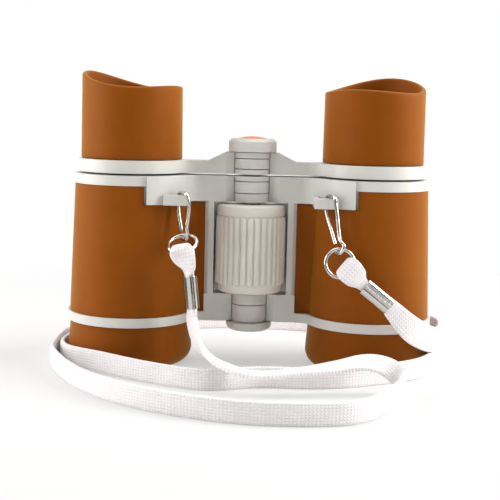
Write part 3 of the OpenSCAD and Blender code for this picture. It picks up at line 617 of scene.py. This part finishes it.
class BINOCULARS_OT_stage(bpy.types.Operator):
    """Camera, pale floor, lamps, black cards and white surroundings"""
    bl_idname = "binoculars.stage"
    bl_label = "Stage"

    def execute(self, context):
        stage = settings().stage
        context.scene.view_settings.view_transform = "Standard"
        self.camera(context, stage)
        self.floor(context, stage)
        for name, (place, size) in LAMPS.items():
            self.lamp(context, f"{name}_lamp", getattr(stage, name), place, size)
        for name, (turn, half) in CARDS.items():
            self.dark_card(context, f"{name}_card", math.radians(turn), half)
        self.surroundings(context, stage)
        return {"FINISHED"}

    def camera(self, context, stage):
        """The camera, as fitted to the photograph."""
        data = bpy.data.cameras.new("camera")
        data.lens = stage.lens
        data.sensor_width = SENSOR_WIDTH
        data.clip_start = CLIP_START
        made = bpy.data.objects.new("camera", data)
        context.scene.collection.objects.link(made)
        turn = Matrix.Rotation(stage.heading, 3, "Z") @ Matrix.Rotation(-stage.pitch, 3, "X")
        right, ahead, up = (turn @ Vector(axis) for axis in ((1, 0, 0), (0, 1, 0), (0, 0, 1)))
        c, s = math.cos(stage.roll), math.sin(stage.roll)
        axes = Matrix((c * right + s * up, c * up - s * right, -ahead)).transposed()
        made.matrix_world = Matrix.Translation(stage.camera) @ axes.to_4x4()
        context.scene.camera = made

    def floor(self, context, stage):
        """A sheet of pale paper that bends up behind the object."""
        bend = [(-FLOOR_REACH, 0.0), (BEND_AT, 0.0)]
        for k in range(1, BEND_STEPS + 1):
            a = math.pi / 2 * k / BEND_STEPS
            bend.append((BEND_AT + BEND_RADIUS * math.sin(a), BEND_RADIUS - BEND_RADIUS * math.cos(a)))
        bend.append((BEND_AT + BEND_RADIUS, FLOOR_TOP))
        verts = [(x, y, z) for y, z in bend for x in (-FLOOR_REACH, FLOOR_REACH)]
        faces = [(2 * i, 2 * i + 1, 2 * i + 3, 2 * i + 2) for i in range(len(bend) - 1)]
        mesh = bpy.data.meshes.new("floor")
        mesh.from_pydata(verts, [], faces)
        mesh.shade_smooth()
        mesh.materials.append(self.pale_paper(stage))
        made = bpy.data.objects.new("floor", mesh)
        context.scene.collection.objects.link(made)

    def pale_paper(self, stage):
        """Matt paper that keeps the shadows near the object and runs out to plain white."""
        made = bpy.data.materials.new("pale_paper")
        tree = cleared(made)
        seen = self.seen(tree)
        place = add(tree, "ShaderNodeTexCoord").outputs["Object"]
        away = add(tree, "ShaderNodeVectorMath", {0: place}, operation="LENGTH")
        glow = add(tree, "ShaderNodeMapRange", {
            "Value": away.outputs["Value"], "From Min": WHITE_FROM, "From Max": WHITE_BY,
            "To Min": NEAR_WHITE, "To Max": 1.0})
        paper = add(tree, "ShaderNodeBsdfDiffuse", {"Color": rgba(stage.floor)})
        shade = add(tree, "ShaderNodeBsdfDiffuse", {"Color": rgba(stage.floor_shade)})
        white = add(tree, "ShaderNodeEmission", {"Color": WHITE, "Strength": 1.0})
        shown = add(tree, "ShaderNodeMixShader", {
            0: glow.outputs[0], 1: shade.outputs[0], 2: white.outputs[0]})
        mix = add(tree, "ShaderNodeMixShader", {0: seen, 1: paper.outputs[0], 2: shown.outputs[0]})
        add(tree, "ShaderNodeOutputMaterial", {"Surface": mix.outputs[0]})
        return made

    def seen(self, tree):
        """1 for what the camera, a reflection or clear plastic sees, 0 for light that falls on the object."""
        path = add(tree, "ShaderNodeLightPath").outputs
        first = add(tree, "ShaderNodeMath", {0: path["Is Camera Ray"], 1: path["Is Glossy Ray"]},
                    operation="ADD")
        both = add(tree, "ShaderNodeMath", {0: first.outputs[0], 1: path["Is Transmission Ray"]},
                   operation="ADD", use_clamp=True)
        return both.outputs[0]

    def lamp(self, context, name, power, place, size):
        """A square soft lamp that faces the object."""
        data = bpy.data.lights.new(name, "AREA")
        data.energy = power
        data.size = size
        made = bpy.data.objects.new(name, data)
        context.scene.collection.objects.link(made)
        aim = LAMP_AIM - Vector(place)
        made.location = place
        made.rotation_euler = aim.to_track_quat("-Z", "Y").to_euler()

    def dark_card(self, context, name, turn, half):
        """A black card that only reflections and clear plastic see, for dark lines in bright metal."""
        middle = Vector((math.cos(turn), math.sin(turn), 0)) * CARD_REACH
        side = Vector((-math.sin(turn), math.cos(turn), 0)) * half
        up = Vector((0, 0, CARD_HEIGHT))
        corners = [middle - side, middle + side, middle + side + up, middle - side + up]
        mesh = bpy.data.meshes.new(name)
        mesh.from_pydata(corners, [], [(0, 1, 2, 3)])
        mesh.materials.append(material("black_card", self.black_card))
        made = bpy.data.objects.new(name, mesh)
        context.scene.collection.objects.link(made)
        made.visible_camera = False
        made.visible_diffuse = False
        made.visible_shadow = False

    def black_card(self):
        """Matt black card."""
        made = bpy.data.materials.new("black_card")
        tree = cleared(made)
        coat = add(tree, "ShaderNodeBsdfDiffuse", {"Color": rgba(linear(CARD_BLACK))})
        add(tree, "ShaderNodeOutputMaterial", {"Surface": coat.outputs[0]})
        return made

    def surroundings(self, context, stage):
        """Soft light from all round, which shows as plain white."""
        world = bpy.data.worlds.new("white_surroundings")
        tree = cleared(world)
        light = add(tree, "ShaderNodeBackground", {"Color": WHITE, "Strength": stage.sky})
        white = add(tree, "ShaderNodeBackground", {"Color": WHITE, "Strength": 1.0})
        mix = add(tree, "ShaderNodeMixShader", {0: self.seen(tree), 1: light.outputs[0], 2: white.outputs[0]})
        add(tree, "ShaderNodeOutputWorld", {"Surface": mix.outputs[0]})
        context.scene.world = world


class BINOCULARS_OT_strap(bpy.types.Operator):
    """Braided strap from the left ferrule, round the barrels and up to the right ferrule"""
    bl_idname = "binoculars.strap"
    bl_label = "Lanyard strap"

    def execute(self, context):
        sizes = settings().sizes
        low = {side: at_lug(side, LANYARD_ENDS[side]["low"]) for side in SIDES}
        axis = {side: at_lug(side, LANYARD_ENDS[side]["high"]) - low[side] for side in SIDES}
        points = [low["left"]] + [Vector(point) * MM for point, _ in STRAP_ROUTE] + [low["right"]]
        ways = [-Vector(LANYARD_ENDS["left"]["way"])] + [Vector(way) for _, way in STRAP_ROUTE]
        ways.append(Vector(LANYARD_ENDS["right"]["way"]))
        plain = len(points) - 2 * len(STRAP_END_SHARES)
        shares = [*STRAP_END_SHARES, *[1.0] * plain, *reversed(STRAP_END_SHARES)]
        points, ways, shares = (spline(values, STRAP_STEPS) for values in (points, ways, shares))
        section = rounded_section(sizes.strap_width, sizes.strap_thickness)
        mesh = swept_mesh("strap", points, ways, shares, section, -axis["left"], axis["right"])
        made = piece("lanyard_braid", mesh, braid(), None, ["lanyard_strap"])
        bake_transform(made)
        return {"FINISHED"}


class BINOCULARS_OT_strap_loops(bpy.types.Operator):
    """Folded ends of the strap, from each ferrule round the wire of its ring"""
    bl_idname = "binoculars.strap_loops"
    bl_label = "Strap loops"

    def execute(self, context):
        sizes = settings().sizes
        for side in SIDES:
            given = LANYARD_ENDS[side]
            low, high, fold = (at_lug(side, given[key]) for key in ("low", "high", "fold"))
            way, fold_way = (Vector(given[key]).normalized() for key in ("way", "fold_way"))
            axis = (high - low).normalized()
            lead = (fold - high).normalized()
            out = axis.cross(across(way, axis)) * (sizes.loop_thickness + LAYER_GAP) / 2
            turn = lead.cross(across(fold_way, lead)) * sizes.loop_bend
            foot = low + axis * LOOP_INSET
            middle = (high + fold) / 2
            route = [foot + out, high + out, middle + turn, fold + turn, fold + lead * sizes.loop_bend,
                     fold - turn, middle - turn, high - out, foot - out]
            half = way + fold_way
            ways = [way, way, half, fold_way, fold_way, fold_way, half, way, way]
            points, ways, shares = (spline(values, LOOP_STEPS) for values in (route, ways, given["shares"]))
            section = rounded_section(sizes.strap_width, sizes.loop_thickness)
            mesh = swept_mesh(f"{side}_loop", points, ways, shares, section, axis, -axis)
            piece(f"{side}_loop_braid", mesh, braid(), f"{side}_half", [f"{side}_strap_loop"])
        return {"FINISHED"}


class BINOCULARS_OT_hooks(bpy.types.Operator):
    """Bent wire hooks on the lugs, and the finish of their rings"""
    bl_idname = "binoculars.hooks"
    bl_label = "Hooks and rings"

    def execute(self, context):
        tree = self.wire_tree()
        inputs = {"Diameter": settings().sizes.wire, "Finish": nickel()}
        for side in SIDES:
            curve = bpy.data.curves.new(f"{side}_route", "CURVE")
            curve.dimensions = "3D"
            points = spline([at_lug(side, point) for point in HOOK_ROUTES[side]], HOOK_STEPS)
            line = curve.splines.new("POLY")
            line.points.add(len(points) - 1)
            for spot, point in zip(line.points, points):
                spot.co = (*point, 1)
            source = bpy.data.objects.new(f"{side}_route", curve)
            context.scene.collection.objects.link(source)
            mesh = grown(f"{side}_hook_wire", tree, source, inputs)
            piece(f"{side}_hook_wire", mesh, nickel(), f"{side}_half", [f"{side}_hook"])
        paint(nickel(), "left_ring", "right_ring")
        return {"FINISHED"}

    def wire_tree(self):
        """A round wire along a curve, with closed ends."""
        tree = geometry_tree("bent wire", {"Diameter": "Float", "Finish": "Material"})
        given = add(tree, "NodeGroupInput").outputs
        radius = add(tree, "ShaderNodeMath", {0: given["Diameter"], 1: 2.0}, operation="DIVIDE")
        circle = add(tree, "GeometryNodeCurvePrimitiveCircle", {
            "Resolution": WIRE_SIDES, "Radius": radius.outputs[0]})
        tube = add(tree, "GeometryNodeCurveToMesh", {
            "Curve": given["Geometry"], "Profile Curve": circle.outputs[0], "Fill Caps": True})
        smooth = add(tree, "GeometryNodeSetShadeSmooth", {"Geometry": tube.outputs[0]})
        real = add(tree, "GeometryNodeRealizeInstances", {"Geometry": smooth.outputs[0]})
        coat = add(tree, "GeometryNodeSetMaterial", {
            "Geometry": real.outputs[0], "Material": given["Finish"]})
        add(tree, "NodeGroupOutput", {"Geometry": coat.outputs[0]})
        return tree


class BINOCULARS_OT_ferrules(bpy.types.Operator):
    """Ferrules rolled from sheet metal, with an open seam on the forward side"""
    bl_idname = "binoculars.ferrules"
    bl_label = "Ferrules"

    def execute(self, context):
        sizes = settings().sizes
        width, thickness, wall = sizes.ferrule_width, sizes.ferrule_thickness, sizes.ferrule_wall
        outer = self.walk(width, thickness)
        inner = self.walk(width - 2 * wall, thickness - 2 * wall)
        section = outer + inner[::-1]
        count = len(section)
        for side in SIDES:
            low, high = (at_lug(side, LANYARD_ENDS[side][key]) for key in ("low", "high"))
            axis = (high - low).normalized()
            wide = across(Vector(LANYARD_ENDS[side]["way"]), axis)
            thick = axis.cross(wide)
            verts = [end + wide * x + thick * y for end in (low, high) for x, y in section]
            faces = [(k, (k + 1) % count, (k + 1) % count + count, k + count) for k in range(count)]
            for k in range(len(outer) - 1):
                a, b, c, d = k, k + 1, count - 2 - k, count - 1 - k
                faces += [(d, c, b, a), (a + count, b + count, c + count, d + count)]
            mesh = bpy.data.meshes.new(f"{side}_sheet")
            mesh.from_pydata(verts, [], faces)
            mesh.shade_smooth()
            mesh.set_sharp_from_angle(angle=SHEET_CREASE)
            piece(f"{side}_sheet", mesh, nickel(), f"{side}_half", [f"{side}_ferrule"])
        return {"FINISHED"}

    def walk(self, width, thickness):
        """A line round a flat tube, from one edge of the seam to the other."""
        core, r = (width - thickness) / 2, thickness / 2
        near, far = SEAM_OFF - SEAM_WIDTH / 2, SEAM_OFF + SEAM_WIDTH / 2
        quarter = math.pi / 2
        first = math.asin((far - core) / r) - quarter
        turns = [first + (quarter - first) * k / SEAM_EDGE_STEPS for k in range(SEAM_EDGE_STEPS + 1)]
        right = [(core + r * math.cos(a), r * math.sin(a)) for a in turns]
        turns = [quarter + math.pi * k / FAR_EDGE_STEPS for k in range(FAR_EDGE_STEPS + 1)]
        left = [(-core + r * math.cos(a), r * math.sin(a)) for a in turns]
        return right + left + [(near, -r)]


class BINOCULARS_OT_eyecups(bpy.types.Operator):
    """Rubber eyecups with a rounded, winged rim"""
    bl_idname = "binoculars.eyecups"
    bl_label = "Eyecups"

    def execute(self, context):
        sizes = settings().sizes
        for side, wing in (("left", sizes.left_wing), ("right", sizes.right_wing)):
            low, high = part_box(f"{side}_eyecup")
            centre = Vector(((low.x + high.x) / 2, 0, 0))
            mesh = lathe_mesh(f"{side}_cup", lambda turn: self.profile(turn - wing, low.z, sizes), centre)
            piece(f"{side}_cup", mesh, rubber(), f"{side}_eyecup", [f"{side}_eyecup"])
        return {"FINISHED"}

    def profile(self, turn, base, sizes):
        """Closed outline at one angle: up the wall, over the lip, down the well and back under the shelf."""
        lip, edge = sizes.cup_lip, CUP_EDGE
        reach = (CUP_RIM_R - lip / 2) * math.cos(turn) + sizes.scoop_shift
        rim = base + CUP_LOW_H + sizes.scoop - math.sqrt(sizes.scoop ** 2 - reach ** 2)
        shelf = base + CUP_SHELF_H + CUP_SHELF_T
        outline = [(CUP_BORE_R, base + edge), (CUP_BORE_R + edge, base), (CUP_FOOT_R - edge, base),
                   (CUP_FOOT_R - edge * CUP_EDGE_SHARE, base + edge * CUP_EDGE_SHARE),
                   (CUP_FOOT_R, base + edge)]
        rise = rim - lip / 2 - base - edge
        for k in range(1, CUP_WALL_STEPS):
            z = base + edge + rise * k / CUP_WALL_STEPS
            lean = min(1, (z - base) / CUP_LOW_H)
            outline.append((CUP_FOOT_R + (CUP_RIM_R - CUP_FOOT_R) * lean, z))
        for k in range(CUP_LIP_STEPS + 1):
            a = math.pi * k / CUP_LIP_STEPS
            outline.append((CUP_RIM_R - lip / 2 + lip / 2 * math.cos(a),
                            rim - lip / 2 + lip / 2 * math.sin(a)))
        drop = shelf + 2 * edge - rim + lip / 2
        for k in range(1, CUP_WELL_STEPS + 1):
            z = rim - lip / 2 + drop * k / CUP_WELL_STEPS
            lean = min(1, (z - shelf) / (base + CUP_LOW_H - shelf))
            outline.append((CUP_WELL_R + (CUP_RIM_R - lip - CUP_WELL_R) * lean, z))
        outline += [(CUP_WELL_R - edge, shelf + edge * CUP_CORNER_SHARE), (CUP_WELL_R - 2 * edge, shelf),
                    (CUP_HOLE_R + edge, shelf), (CUP_HOLE_R, shelf - edge),
                    (CUP_HOLE_R, shelf - CUP_SHELF_T), (CUP_BORE_R, shelf - CUP_SHELF_T)]
        return outline


class BINOCULARS_OT_focus_wheel(bpy.types.Operator):
    """Focus wheel with round-ended ribs between its plain foot and its flange"""
    bl_idname = "binoculars.focus_wheel"
    bl_label = "Focus wheel"

    def execute(self, context):
        sizes = settings().sizes
        low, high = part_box("focus_wheel")
        outline = self.outline(low.z, high.z)
        mesh = lathe_mesh("wheel_core", lambda turn: outline, Vector((0, 0, 0)))
        mesh.set_sharp_from_angle(angle=WHEEL_CREASE)
        source = bpy.data.objects.new("wheel_core", mesh)
        context.scene.collection.objects.link(source)
        mesh = grown("ribbed_wheel", self.rib_tree(), source, {
            "Ribs": sizes.ribs, "Rib radius": sizes.rib_radius,
            "Pitch radius": WHEEL_TIP_R - sizes.rib_radius,
            "Low": low.z + WHEEL_FOOT_H * RIB_START_SHARE, "High": high.z - WHEEL_FLANGE_H,
            "Finish": wheel_plastic()})
        piece("ribbed_wheel", mesh, wheel_plastic(), "focus_wheel", ["focus_wheel"])
        return {"FINISHED"}

    def outline(self, bottom, top):
        """Closed outline of the wheel without its ribs."""
        core, flange = WHEEL_TIP_R - WHEEL_CORE_DEPTH, WHEEL_TIP_R - WHEEL_FLANGE_DEPTH
        step = top - WHEEL_FLANGE_H
        found = [(WHEEL_BORE_R, bottom)]
        found += [(core - inward * MM, bottom + up * MM) for inward, up in FOOT_ROUNDING]
        found += [(core, bottom + WHEEL_FOOT_H), (core, step - FLANGE_SLOPE)]
        found += [(flange - FLANGE_CHAMFER, step), (flange, step + FLANGE_CHAMFER)]
        found += [(flange - inward * MM, top - down * MM) for inward, down in FLANGE_ROUNDING]
        found.append((WHEEL_BORE_R, top))
        return found

    def rib_tree(self):
        """Round-ended ribs set in a circle round the given core."""
        tree = geometry_tree("wheel ribs", {
            "Ribs": "Int", "Rib radius": "Float", "Pitch radius": "Float", "Low": "Float", "High": "Float",
            "Finish": "Material"})
        given = add(tree, "NodeGroupInput").outputs
        start = add(tree, "ShaderNodeCombineXYZ", {2: given["Low"]})
        end = add(tree, "ShaderNodeCombineXYZ", {2: given["High"]})
        line = add(tree, "GeometryNodeCurvePrimitiveLine", {"Start": start.outputs[0], "End": end.outputs[0]})
        fine = add(tree, "GeometryNodeResampleCurve", {"Curve": line.outputs[0], "Count": RIB_STEPS})
        # the radius stays full along the rib and closes over its last share at both ends
        along = add(tree, "GeometryNodeSplineParameter")
        swing = add(tree, "ShaderNodeMath", {0: along.outputs["Factor"], 1: 2.0, 2: -1.0},
                    operation="MULTIPLY_ADD")
        size = add(tree, "ShaderNodeMath", {0: swing.outputs[0]}, operation="ABSOLUTE")
        power = add(tree, "ShaderNodeMath", {0: size.outputs[0], 1: RIB_END_POWER}, operation="POWER")
        left = add(tree, "ShaderNodeMath", {0: 1.0, 1: power.outputs[0]}, operation="SUBTRACT")
        full = add(tree, "ShaderNodeMath", {0: left.outputs[0]}, operation="SQRT")
        circle = add(tree, "GeometryNodeCurvePrimitiveCircle", {
            "Resolution": RIB_SIDES, "Radius": given["Rib radius"]})
        rib = add(tree, "GeometryNodeCurveToMesh", {
            "Curve": fine.outputs[0], "Profile Curve": circle.outputs[0], "Scale": full.outputs[0]})
        ring = add(tree, "GeometryNodeMeshCircle", {
            "Vertices": given["Ribs"], "Radius": given["Pitch radius"]})
        ribs = add(tree, "GeometryNodeInstanceOnPoints", {
            "Points": ring.outputs[0], "Instance": rib.outputs[0]})
        real = add(tree, "GeometryNodeRealizeInstances", {"Geometry": ribs.outputs[0]})
        smooth = add(tree, "GeometryNodeSetShadeSmooth", {"Geometry": real.outputs[0]})
        whole = add(tree, "GeometryNodeJoinGeometry")
        tree.links.new(smooth.outputs[0], whole.inputs[0])
        tree.links.new(given["Geometry"], whole.inputs[0])
        coat = add(tree, "GeometryNodeSetMaterial", {
            "Geometry": whole.outputs[0], "Material": given["Finish"]})
        add(tree, "NodeGroupOutput", {"Geometry": coat.outputs[0]})
        return tree


class BINOCULARS_OT_barrels(bpy.types.Operator):
    """Finish of the rubber sleeves and hoods and of the grey frame"""
    bl_idname = "binoculars.barrels"
    bl_label = "Barrels and frame"

    def execute(self, context):
        disc = moulded_abs("tan_disc_abs", settings().colours.disc, rough=(0.35, 0.45))
        for side in SIDES:
            paint(rubber(), f"{side}_sleeve", f"{side}_hood")
            paint(frame_plastic(), f"{side}_body", f"{side}_bridge_arm")
        paint(frame_plastic(), "hinge_end_cap", "hinge_collar", "bridge_collar", "spindle_cap")
        paint(disc, "cap_disc")
        return {"FINISHED"}


class BINOCULARS_OT_optics(bpy.types.Operator):
    """Finish of the lenses, the tubes that hold them and the steel on the hinge axis"""
    bl_idname = "binoculars.optics"
    bl_label = "Optics"

    def execute(self, context):
        colours = settings().colours
        black = moulded_abs("matt_black_abs", colours.black, rough=(0.5, 0.65))
        clear = clear_acrylic(colours)
        for side in SIDES:
            paint(clear, f"{side}_objective", f"{side}_eyepiece_lens")
            paint(black, f"{side}_lens_ring", f"{side}_eyepiece_tube", f"{side}_eyepiece_ring")
        paint(turned_steel(colours), "hinge_pin", "focus_spindle")
        return {"FINISHED"}


class BINOCULARS_PT_panel(bpy.types.Panel):
    """Lists the steps and the settings"""
    bl_idname = "BINOCULARS_PT_panel"
    bl_label = "Toy binoculars"
    bl_space_type = "VIEW_3D"
    bl_region_type = "UI"
    bl_category = "Binoculars"

    def draw(self, context):
        for step in STEPS:
            self.layout.operator(step.bl_idname)
        for group in (settings().sizes, settings().colours, settings().stage):
            box = self.layout.box()
            for name in group.bl_rna.properties.keys():
                if name not in ("rna_type", "name"):
                    box.prop(group, name)


STEPS = (BINOCULARS_OT_stage, BINOCULARS_OT_strap, BINOCULARS_OT_strap_loops, BINOCULARS_OT_hooks,
         BINOCULARS_OT_ferrules, BINOCULARS_OT_eyecups, BINOCULARS_OT_focus_wheel, BINOCULARS_OT_barrels,
         BINOCULARS_OT_optics)
CLASSES = (BinocularSizes, BinocularColours, BinocularStage, BinocularSettings, *STEPS, BINOCULARS_PT_panel)


def register():
    """Makes the operators, the panel and the settings known."""
    for item in CLASSES:
        bpy.utils.register_class(item)
    bpy.types.Scene.toy_binoculars = PointerProperty(type=BinocularSettings)


def unregister():
    """Takes back what register made known."""
    del bpy.types.Scene.toy_binoculars
    for item in reversed(CLASSES):
        bpy.utils.unregister_class(item)


def main():
    """Dresses the solids step by step."""
    register()
    for step in STEPS:
        group, name = step.bl_idname.split(".")
        getattr(getattr(bpy.ops, group), name)()


if __name__ == "__main__":
    main()
